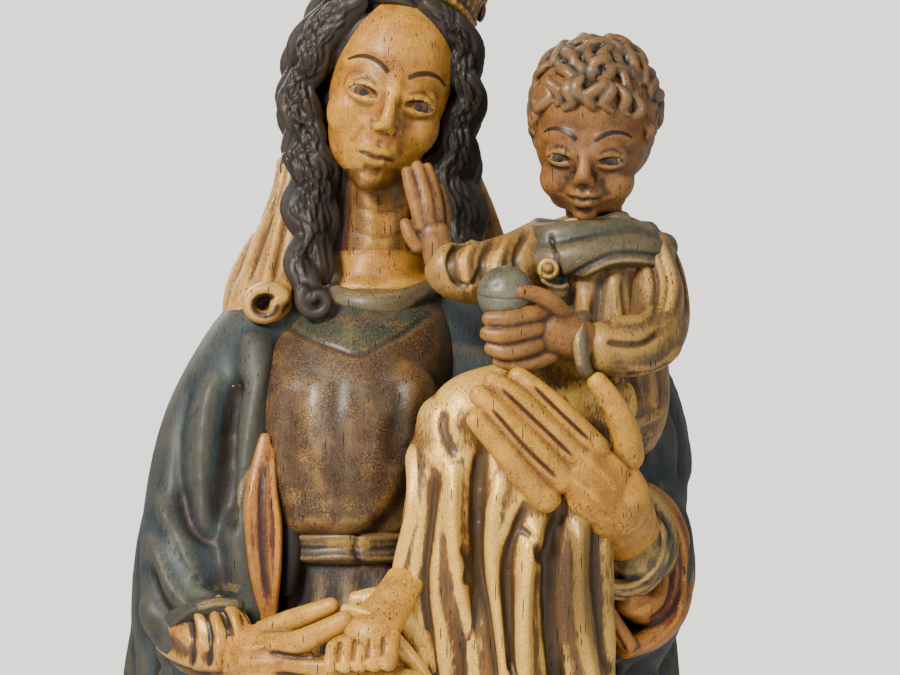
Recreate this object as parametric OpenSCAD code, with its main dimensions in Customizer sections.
// Carved and painted wooden Madonna with Child, in separate doweled pieces on a moulded plinth.
// +Z is up, -Y is the front, and the origin is the centre of the plinth's underside.
// All sizes are in millimetres.

/* [Figure] */
// Height of the standing figure above its ground, to the flat of the head
figure_h = 734; // [610:2:882]
// Width of the figure across both arms
figure_w = 276; // [230:2:332]
// Depth of the figure from the supporting hand to the back
figure_d = 184; // [156:2:220]
// Height of the Child, from the seat to the top of the head
child_h = 200; // [168:2:240]
// Thickness of the glue line between carved pieces
glue_gap = 0.3; // [0.2:0.05:0.6]

/* [Plinth] */
// Width of the plinth
plinth_w = 264; // [258:2:318]
// Depth of the plinth
plinth_d = 216; // [200:2:260]
// Height of the plinth
plinth_h = 46; // [38:1:56]
// Width of the cut across each corner of the plinth
corner_cut = 44; // [30:1:56]
// Height of the carved ground between the plinth and the robe
ground_h = 14; // [10:1:20]

/* [Crown] */
// Radius of the turned seat on the head that the crown slips over
seat_r = 36; // [30:0.5:38]
// Height of the turned seat
seat_h = 12; // [9:0.5:16]
// Height of the crown, from the lower rim to the tips
crown_h = 50; // [40:1:62]
// Thickness of the crown's wall
crown_wall = 4.5; // [3.5:0.1:6]
// Angle at which the crown flares out
crown_flare = 11; // [7:1:15]
// Number of fleurons round the crown
fleurons = 8; // [6:1:10]
// Radial clearance of the crown on its seat
crown_fit = 0.15; // [0.1:0.05:0.4]
// Gap between the crown's lower rim and the head
crown_gap = 0.3; // [0.2:0.05:0.6]

/* [Hollow back] */
// Width of the hollow cut into the back against splitting
hollow_w = 70; // [56:2:80]
// Depth of the hollow measured from inside the back board
hollow_d = 46; // [30:1:56]
// Thickness of the board that closes the hollow, at its middle
board_t = 22; // [18:0.5:26]
// Width of the rebate that the board rests on
rebate_w = 9; // [7:0.5:12]

/* [Fixings] */
// Radius of the beech dowels
dowel_r = 4; // [3:0.25:5]
// Length of the beech dowels
dowel_len = 32; // [26:1:38]
// Clearance of dowels, screws and nails in their holes
dowel_fit = 0.2; // [0.15:0.05:0.3]
// Radius of the tenon under the Madonna's head
tenon_r = 9; // [7:0.5:11]
// Length of the tenon under the Madonna's head
tenon_len = 52; // [42:1:62]
// Radius of the coach screws that hold the plinth
screw_r = 3; // [2.5:0.25:4]
// Length of the coach screws under their heads
screw_len = 90; // [76:1:108]
// Radius of the coach screws' heads
screw_head_r = 6.5; // [5.5:0.25:8]

/* [Hidden] */

// The carved shapes are drawn on a figure of this height, width and depth, and scaled to the sizes above.
drawn_h = 734;
drawn_w = 276;
drawn_d = 184;
drawn_child_h = 200;
kx = figure_w / drawn_w;
ky = figure_d / drawn_d;
kz = figure_h / drawn_h;
kc = child_h / drawn_child_h;
floor_z = plinth_h + ground_h;
drawn_floor = 60;

// Wood shades under the paint.
lime = [0.66, 0.49, 0.27];
dark_green = [0.16, 0.19, 0.18];
gold_brown = [0.47, 0.31, 0.14];
red_brown = [0.42, 0.21, 0.11];
flesh = [0.74, 0.55, 0.29];
beech = [0.78, 0.63, 0.42];
iron = [0.33, 0.32, 0.31];

ball_fn = 14;   // sides of the rounded ends that make up carved limbs
ring_fn = 44;   // sides of the lofted drapery
bore_fn = 28;   // sides of the dowel holes in carved pieces

// Drawn point to real point.
function place(p) = [p.x * kx, p.y * ky, floor_z + (p.z - drawn_floor) * kz];
// The Child is drawn about its seat and keeps that seat when its height changes.
child_seat = [108, -40, 590];
function child(p) = child_seat + (p - child_seat) * kc;
function radii(r) = is_list(r) ? r : [r, r, r];
function stretch(r) = [r.x * kx, r.y * ky, r.z * kz];

// One rounded lump at a drawn point, with room g around it.
module lump(p, r, g = 0) {
    translate(place(p))
        scale(stretch(radii(r)) + [g, g, g])
            sphere(r = 1, $fn = ball_fn);
}

// A rounded limb through a list of [point, radius].
module limb(list, g = 0) {
    for (i = [0 : len(list) - 2])
        hull() {
            lump(list[i][0], list[i][1], g);
            lump(list[i + 1][0], list[i + 1][1], g);
        }
}

// The same, drawn for the Child.
module child_limb(list, g = 0) {
    limb([for (s = list) [child(s[0]), radii(s[1]) * kc]], g);
}

// Lofted drapery through stations [z, centre x, centre y, half width, half depth, flute depth].
flutes = 11;
function loft_ring(s, g, dz) = [
    for (i = [0 : ring_fn - 1])
        let (a = 360 * i / ring_fn, f = 1 + s[5] * cos(flutes * a))
        place([s[1], s[2], s[0]])
            + [(s[3] * kx * f + g) * cos(a), (s[4] * ky * f + g) * sin(a), dz]
];
module loft(stations, g = 0) {
    last = len(stations) - 1;
    points = [
        for (k = [0 : last]) each loft_ring(stations[k], g, k == 0 ? -g : (k == last ? g : 0))
    ];
    walls = [
        for (k = [0 : last - 1], i = [0 : ring_fn - 1])
            let (j = (i + 1) % ring_fn, a = k * ring_fn, b = a + ring_fn)
            each [[a + i, b + i, b + j], [a + i, b + j, a + j]]
    ];
    floor_face = [for (i = [0 : ring_fn - 1]) i];
    roof_face = [for (i = [ring_fn - 1 : -1 : 0]) last * ring_fn + i];
    polyhedron(points, concat(walls, [floor_face, roof_face]));
}

// ---- head and crown axis ----
head_centre = [-8, -2, 765];
crown_tilt = 12;                // the crown leans towards the Child
crown_back = 22;                // and back on the head
function head_axis() = [
    sin(crown_tilt) * cos(crown_back), sin(crown_back), cos(crown_tilt) * cos(crown_back)
];
seat_base = place([-5, 8, 803]);
module on_head(up = 0) {
    translate(seat_base + head_axis() * up) rotate([-crown_back, crown_tilt, 0]) children();
}

// ---- Madonna ----
dress_stations = [
    [60, 0, -8, 92, 74, 0.04], [110, 0, -8, 88, 72, 0.04], [250, -4, -8, 82, 70, 0.04],
    [380, -6, -8, 78, 66, 0.03], [470, -8, -6, 72, 62, 0.02], [520, -18, -4, 56, 58, 0],
    [540, -24, -6, 50, 54, 0], [580, -27, -8, 54, 58, 0], [610, -27, -8, 56, 58, 0],
    [640, -22, -4, 54, 48, 0], [666, -13, 2, 30, 30, 0]
];
module dress_shape(g = 0) { loft(dress_stations, g); }

mantle_right_stations = [
    [60, -68, 8, 52, 64, 0.03], [250, -78, 6, 46, 62, 0.03], [380, -85, 2, 43, 62, 0.02],
    [470, -91, -6, 40, 60, 0], [535, -90, 0, 37, 52, 0], [600, -76, 6, 34, 42, 0],
    [640, -63, 8, 30, 34, 0], [662, -46, 12, 24, 24, 0]
];

mantle_left_stations = [
    [60, 64, 8, 52, 64, 0.03], [250, 68, 10, 48, 60, 0.03], [380, 72, 8, 46, 58, 0.02],
    [470, 68, 4, 48, 58, 0], [535, 98, 6, 47, 48, 0], [600, 84, 14, 46, 44, 0],
    [640, 62, 16, 48, 36, 0], [662, 34, 14, 36, 26, 0]
];

// The mantle's back, which the two side blocks share between them.
mantle_back_stations = [
    [60, 0, 12, 112, 66, 0.02], [250, -2, 12, 112, 62, 0.02], [380, -4, 10, 114, 60, 0.02],
    [470, -6, 8, 112, 56, 0], [535, 4, 8, 118, 50, 0], [600, 0, 10, 104, 44, 0],
    [640, -10, 12, 80, 36, 0], [662, -14, 12, 58, 26, 0]
];
mantle_split = -6 * kx;         // where the two side blocks meet at the back
module right_of_split() {
    translate([mantle_split - figure_w, -figure_d, 0]) cube([figure_w - glue_gap / 2, 2 * figure_d, 2 * figure_h]);
}
module left_of_split() {
    translate([mantle_split + glue_gap / 2, -figure_d, 0]) cube([figure_w, 2 * figure_d, 2 * figure_h]);
}
module mantle_right_shape() {
    intersection() {
        union() { loft(mantle_right_stations); loft(mantle_back_stations); }
        right_of_split();
    }
}
module mantle_left_shape() {
    intersection() {
        union() { loft(mantle_left_stations); loft(mantle_back_stations); }
        left_of_split();
    }
}

module sleeve_right_shape(g = 0) {
    limb([[[-104, -22, 500], [24, 26, 34]], [[-94, -62, 492], [24, 20, 28]], [[-84, -80, 489], [17, 12, 20]]], g);
}
module sleeve_left_shape(g = 0) {
    limb([[[122, -6, 545], [24, 26, 36]], [[120, -44, 530], [27, 18, 46]]], g);
}
// Mouth of the open left sleeve, round the wrist.
module sleeve_left_mouth() {
    limb([[[116, -66, 532], [22, 14, 40]], [[120, -44, 532], [18, 10, 32]]]);
}

module hand_right_shape(g = 0) {
    limb([[[-84, -76, 489], 14], [[-62, -92, 487], [13, 12, 13]], [[-36, -104, 486], [15, 9, 16]]], g);
    limb([[[-36, -106, 482], [9, 8, 8]], [[14, -110, 474], [6, 6, 6]]], g);
    limb([[[-40, -104, 492], [8, 7, 7]], [[-20, -110, 503], [5, 5, 5]]], g);
}
fingers_left = [
    [[66, -104, 584], [38, -108, 612]], [[71, -103, 592], [46, -107, 620]],
    [[77, -102, 599], [56, -105, 625]], [[83, -100, 604], [68, -102, 624]]
];
module hand_left_shape(g = 0) {
    limb([[[120, -46, 532], [14, 14, 15]], [[106, -80, 554], [17, 14, 17]],
          [[82, -96, 590], [18, 11, 18]], [[74, -99, 594], [15, 9, 16]]], g);
    for (f = fingers_left) limb([[f[0], [7, 7, 7]], [f[1], [5, 5, 5]]], g);
    limb([[[100, -88, 585], [8, 8, 9]], [[100, -90, 612], [5, 6, 6]]], g);
}

module head_shape(g = 0) {
    limb([[head_centre, [43, 48, 46]], [[-12, -14, 738], [33, 36, 26]]], g);
    lump([-6, 4, 775], [42, 46, 42], g);
    limb([[[-8, -50, 768], [5, 5, 6]], [[-12, -55, 754], [7, 7, 6]]], g);
    limb([[[-10, -2, 720], [20, 21, 14]], [[-13, 0, 672], [20, 22, 10]]], g);
    limb([[[-48, -4, 768], [12, 20, 22]], [[-50, -8, 708], [12, 18, 20]], [[-42, -26, 664], [12, 14, 14]]], g);
    limb([[[30, -4, 770], [12, 20, 22]], [[30, -2, 708], [13, 18, 20]], [[28, 2, 674], [10, 12, 10]]], g);
}
module veil_shape(g = 0) {
    limb([[[-8, 30, 775], [42, 24, 36]], [[-8, 40, 710], [58, 22, 24]], [[-16, 40, 664], [80, 24, 16]]], g);
    limb([[[-52, 12, 735], [12, 18, 24]], [[-64, -2, 690], [14, 18, 20]], [[-72, -18, 652], [22, 20, 14]]], g);
    limb([[[36, 14, 735], [10, 18, 24]], [[42, 8, 690], [13, 18, 20]], [[48, 4, 662], [16, 18, 10]]], g);
}

// ---- Child ----
module child_torso_shape(g = 0) {
    child_limb([[[101, -36, 690], [34, 22, 14]], [[102, -38, 655], [33, 26, 24]], [[109, -36, 606], [33, 30, 26]],
                [[108, -36, 590], [30, 30, 20]]], g);
}
module child_robe_shape(g = 0) {
    child_limb([[[100, -46, 600], [26, 26, 22]], [[34, -84, 604], [21, 20, 22]]], g);
    limb([[[34, -84, 600], [22, 20, 20]], [[52, -78, 560], [44, 28, 24]], [[48, -78, 500], [52, 30, 30]],
          [[50, -74, 440], [50, 28, 22]]], g);
}
module child_head_shape(g = 0) {
    child_limb([[[97, -40, 700], [14, 14, 10]], [[96, -46, 722], [24, 26, 18]]], g);
    child_limb([[[96, -46, 736], [29, 32, 26]], [[98, -40, 752], [35, 38, 32]]], g);
    child_limb([[[92, -77, 742], [4, 4, 4]], [[91, -80, 736], [5, 5, 4]]], g);
}
module child_arm_right_shape(g = 0) {
    child_limb([[[68, -42, 686], [15, 16, 15]], [[40, -58, 670], [16, 14, 16]], [[20, -62, 674], [13, 12, 15]]], g);
    child_limb([[[18, -62, 684], [9, 9, 8]], [[9, -60, 716], [8, 6, 9]]], g);
}
module child_arm_left_shape(g = 0) {
    child_limb([[[132, -42, 680], [16, 18, 18]], [[130, -66, 640], [18, 17, 18]], [[88, -90, 634], [14, 12, 15]]], g);
    child_limb([[[86, -92, 636], [9, 9, 9]], [[60, -98, 643], [12, 10, 12]]], g);
}
orb_r = 14;
orb_centre = [52, -99, 660];
module orb_solid(g = 0) {
    translate(place(child(orb_centre))) sphere(r = orb_r * kc * kx + g);
}
module child_foot_shape(g = 0) {
    limb([[[2, -98, 520], [9, 10, 10]], [[-6, -108, 506], [11, 10, 10]], [[-16, -118, 494], [13, 9, 7]]], g);
}

// ---- straight pins, each [centre, direction, radius, length] ----
function unit(v) = v / norm(v);
module pin_at(p, v, r, length) {
    d = unit(v);
    translate(p) rotate([0, acos(d.z), atan2(d.y, d.x)])
        cylinder(r = r, h = length, center = true, $fn = bore_fn);
}
module pins(list, g = 0) {
    for (s = list) pin_at(s[0], s[1], s[2] + g, s[3] + 2 * g);
}
tenon = [[place([-12, 0, 676]), [0, 0, 1], tenon_r, tenon_len]];
wrist_right_pin = [[place([-91, -64, 489]), [-0.5, 0.87, 0], dowel_r, dowel_len]];
wrist_left_pin = [[place([120, -33, 533]), [0.05, 1, 0], dowel_r, dowel_len]];
small_dowel_r = dowel_r * 0.75; // the Child's arms and foot
small_dowel_len = dowel_len * 0.55 * kc;
child_neck_pin = [[place(child([97, -40, 691])), [0, 0, 1], small_dowel_r, dowel_len * kc]];
child_arm_right_pin = [[place(child([81, -40, 685])), [1, 0.2, 0.1], small_dowel_r, small_dowel_len]];
child_arm_left_pin = [[place(child([117, -42, 677])), [1, 0, 0.2], small_dowel_r, small_dowel_len]];
foot_pin = [[place([8, -90, 526]), [0.5, 0.5, 0.7], small_dowel_r, dowel_len * 0.75]];
orb_pin_list = [[place(child([54, -98, 647])), [0, 0, 1], dowel_r * 0.4, 14]];
seat_pins = [for (z = [606, 634]) [place(child([88, -13, z])), [0, 1, 0], dowel_r, dowel_len]];
robe_pins = [for (z = [444, 490]) [place([26, -50, z]), [0, 1, 0], dowel_r, dowel_len]];
side_pins_right = [for (z = [150, 300, 450]) [place([-84, 0, z]), [1, 0, 0], dowel_r, dowel_len]];
side_pins_left = [for (z = [150, 300, 440]) [place([76, 0, z]), [1, 0, 0], dowel_r, dowel_len]];
all_pins = concat(
    tenon, wrist_right_pin, wrist_left_pin, child_neck_pin, child_arm_right_pin, child_arm_left_pin,
    foot_pin, orb_pin_list, seat_pins, robe_pins, side_pins_right, side_pins_left
);

// ---- plinth fixings ----
screw_spots = [[-44, -24], [44, -24], [0, 40]];
counterbore_r = screw_head_r + 3;
counterbore_h = 12;
washer_t = 1.5;
module at_screws(z) {
    for (s = screw_spots) translate([s.x * kx, s.y * ky, z]) children();
}
module screw_holes() {
    at_screws(counterbore_h - 1) cylinder(r = screw_r + dowel_fit, h = screw_len + 2, $fn = bore_fn);
}

// ---- hollow and back board ----
hollow_bottom = place([0, 0, 120]).z;
hollow_top = place([0, 0, 440]).z;
board_back = 74 * ky - board_t; // the board's inner face, from the middle of the figure
hollow_x = -6 * kx;
module board_region(g = 0) {
    translate([hollow_x - hollow_w / 2 - rebate_w - g, board_back - g, hollow_bottom - rebate_w - g])
        cube([hollow_w + 2 * rebate_w + 2 * g, figure_d, hollow_top - hollow_bottom + 2 * rebate_w + 2 * g]);
}
module hollow_region() {
    translate([hollow_x - hollow_w / 2, board_back - hollow_d, hollow_bottom])
        cube([hollow_w, hollow_d + board_t, hollow_top - hollow_bottom]);
}
nail_r = 1.4;
nail_len = 26;
nail_head_r = 3;
nail_head_h = 1.2;
nail_out = 9;                   // nail heads outside the board's inner face
nail_spots = [
    for (sx = [-1, 1], z = [hollow_bottom - rebate_w / 2, (hollow_bottom + hollow_top) / 2, hollow_top + rebate_w / 2])
        [hollow_x + sx * (hollow_w + rebate_w) / 2, z]
];
module at_nails(y) {
    for (s = nail_spots) translate([s.x, board_back + y, s.y]) rotate([-90, 0, 0]) children();
}
module nails() {
    at_nails(nail_out - nail_len) cylinder(r = nail_r, h = nail_len, $fn = bore_fn);
    at_nails(nail_out - nail_head_h) cylinder(r = nail_head_r, h = nail_head_h, $fn = bore_fn);
}
module nail_holes() {
    at_nails(nail_out - nail_len - dowel_fit) cylinder(r = nail_r + dowel_fit, h = nail_len, $fn = bore_fn);
}
// The outside of the board is rounded, so its nails sit at the foot of bored recesses.
module nail_recess() {
    at_nails(nail_out - nail_head_h - dowel_fit) cylinder(r = nail_head_r + 0.5, h = figure_d, $fn = bore_fn);
}

// ---- which piece is cut to make room for which ----
module fixings_room() {
    pins(all_pins, dowel_fit);
    screw_holes();
}
module head_top_room() {
    on_head() cylinder(r = 120, h = 120, $fn = bore_fn);
}
module carve_level(level, g) {
    // 1 hands, foot and orb, 2 the Child's head and arms, 3 the Child's body,
    // 4 the sleeves, 5 the Madonna's head, 6 the veil, 7 the dress
    if (level > 1) { hand_left_shape(g); hand_right_shape(g); child_foot_shape(g); orb_solid(g); }
    if (level > 2) { child_head_shape(g); child_arm_right_shape(g); child_arm_left_shape(g); }
    if (level > 3) { child_torso_shape(g); child_robe_shape(g); }
    if (level > 4) { sleeve_left_shape(g); sleeve_right_shape(g); sleeve_left_mouth(); }
    if (level > 5) head_shape(g);
    if (level > 6) veil_shape(g);
    if (level > 7) dress_shape(g);
}
module carved(level) {
    difference() {
        children();
        carve_level(level, glue_gap);
        fixings_room();
    }
}

module hand_left() { color(flesh) carved(1) hand_left_shape(); }
module hand_right() { color(flesh) carved(1) hand_right_shape(); }
module child_foot() {
    color(flesh) difference() {
        child_foot_shape();
        hand_right_shape(glue_gap);
        fixings_room();
    }
}
module orb() { color(dark_green) difference() { orb_solid(); pins(orb_pin_list, dowel_fit); } }
module child_head() { color(flesh) carved(2) child_head_shape(); }
module child_arm_right() {
    color(gold_brown) difference() {
        carved(2) child_arm_right_shape();
        child_head_shape(glue_gap);
        head_shape(glue_gap);
    }
}
module child_arm_left() {
    color(gold_brown) difference() {
        carved(2) child_arm_left_shape();
        child_head_shape(glue_gap);
    }
}
module child_torso() { color(gold_brown) carved(3) child_torso_shape(); }
module child_robe() {
    color(gold_brown) difference() {
        carved(3) child_robe_shape();
        child_torso_shape(glue_gap);
    }
}
module sleeve_left() { color(red_brown) difference() { carved(4) sleeve_left_shape(); sleeve_left_mouth(); } }
module sleeve_right() { color(gold_brown) carved(4) sleeve_right_shape(); }
module madonna_head() {
    color(flesh) difference() {
        carved(5) head_shape();
        head_top_room();
    }
}
module madonna_veil() {
    color(gold_brown) difference() {
        carved(6) veil_shape();
        head_top_room();
    }
}
module dress_block() {
    color(gold_brown) difference() {
        carved(7) dress_shape();
        board_region(glue_gap);
        hollow_region();
        nail_holes();
    }
}
module mantle_right_block() {
    color(dark_green) difference() {
        carved(8) mantle_right_shape();
        board_region(glue_gap);
        nail_holes();
    }
}
module mantle_left_block() {
    color(dark_green) difference() {
        carved(8) mantle_left_shape();
        board_region(glue_gap);
        nail_holes();
    }
}
module back_board() {
    color(lime) difference() {
        intersection() {
            union() {
                dress_shape();
                loft(mantle_back_stations);
            }
            board_region();
        }
        carve_level(7, glue_gap);
        nail_holes();
        nail_recess();
    }
}
module back_board_nails() { color(iron) nails(); }

module head_tenon() { color(beech) pins(tenon); }
module wrist_dowel_right() { color(beech) pins(wrist_right_pin); }
module wrist_dowel_left() { color(beech) pins(wrist_left_pin); }
module child_neck_dowel() { color(beech) pins(child_neck_pin); }
module child_arm_dowel_right() { color(beech) pins(child_arm_right_pin); }
module child_arm_dowel_left() { color(beech) pins(child_arm_left_pin); }
module child_foot_dowel() { color(beech) pins(foot_pin); }
module orb_pin() { color(iron) pins(orb_pin_list); }
module child_seat_dowels() { color(beech) pins(seat_pins); }
module robe_dowels() { color(beech) pins(robe_pins); }
module side_dowels_right() { color(beech) pins(side_pins_right); }
module side_dowels_left() { color(beech) pins(side_pins_left); }

// ---- crown ----
module crown_seat() {
    color(gold_brown) on_head() cylinder(r = seat_r, h = seat_h, $fn = 96);
}
notch_r = 0.30;                 // notch radius as a share of the spacing between fleurons
module crown() {
    bore = seat_r + crown_fit;
    lean = crown_h * tan(crown_flare);
    rim_h = seat_h + 2;
    spacing = 2 * PI * (bore + lean) / fleurons;
    color(gold_brown) on_head() difference() {
        rotate_extrude($fn = 96) polygon([
            [bore, crown_gap], [bore + crown_wall * 1.5, crown_gap], [bore + crown_wall * 1.5, 5],
            [bore + crown_wall, 8], [bore + crown_wall + lean, crown_h],
            [bore + lean, crown_h], [bore, rim_h]
        ]);
        for (i = [0 : fleurons - 1])
            rotate([0, 0, 360 * (i + 0.5) / fleurons])
                translate([0, 0, crown_h])
                    rotate([0, 90, 0]) cylinder(r = spacing * notch_r, h = 2 * (bore + lean), $fn = 48);
    }
}

// ---- plinth ----
module canted(w, d, cut) {
    polygon([
        [-w / 2 + cut, -d / 2], [w / 2 - cut, -d / 2], [w / 2, -d / 2 + cut], [w / 2, d / 2 - cut],
        [w / 2 - cut, d / 2], [-w / 2 + cut, d / 2], [-w / 2, d / 2 - cut], [-w / 2, -d / 2 + cut]
    ]);
}
step_in = 9;                    // how far each moulding steps in
foot_share = 0.36;              // height of the lowest moulding as a share of the plinth
neck_share = 0.36;
module plinth_step(n, z, h) {
    translate([0, 0, z]) linear_extrude(height = h)
        canted(plinth_w - 2 * n * step_in, plinth_d - 2 * n * step_in, corner_cut - n * step_in * 0.6);
}
module plinth() {
    color(gold_brown) difference() {
        union() {
            plinth_step(0, 0, plinth_h * foot_share);
            plinth_step(2, plinth_h * foot_share, plinth_h * neck_share);
            plinth_step(1, plinth_h * (foot_share + neck_share), plinth_h * (1 - foot_share - neck_share));
        }
        at_screws(-1) cylinder(r = counterbore_r, h = counterbore_h + 1, $fn = 48);
        at_screws(counterbore_h - 1) cylinder(r = screw_r + dowel_fit, h = plinth_h, $fn = 48);
    }
}
module ground_mound() {
    color(dark_green) difference() {
        translate([0, 0, plinth_h]) linear_extrude(height = ground_h)
            canted(plinth_w - 4 * step_in, plinth_d - 4 * step_in, corner_cut);
        screw_holes();
    }
}
module plinth_screws() {
    color(iron) at_screws(0) {
        translate([0, 0, counterbore_h - washer_t - 5]) cylinder(r = screw_head_r, h = 5, $fn = 6);
        translate([0, 0, counterbore_h - washer_t]) cylinder(r = screw_r, h = screw_len, $fn = 48);
    }
}
module plinth_washers() {
    color(iron) at_screws(counterbore_h - washer_t) difference() {
        cylinder(r = counterbore_r - 0.5, h = washer_t, $fn = 48);
        translate([0, 0, -1]) cylinder(r = screw_r + dowel_fit, h = washer_t + 2, $fn = 48);
    }
}

plinth();
ground_mound();
plinth_screws();
plinth_washers();
dress_block();
back_board();
back_board_nails();
mantle_right_block();
mantle_left_block();
sleeve_right();
sleeve_left();
madonna_head();
madonna_veil();
head_tenon();
crown_seat();
crown();
hand_right();
hand_left();
wrist_dowel_right();
wrist_dowel_left();
child_torso();
child_robe();
child_head();
child_arm_right();
child_arm_left();
child_foot();
orb();
child_neck_dowel();
child_arm_dowel_right();
child_arm_dowel_left();
child_foot_dowel();
orb_pin();
child_seat_dowels();
robe_dowels();
side_dowels_right();
side_dowels_left();
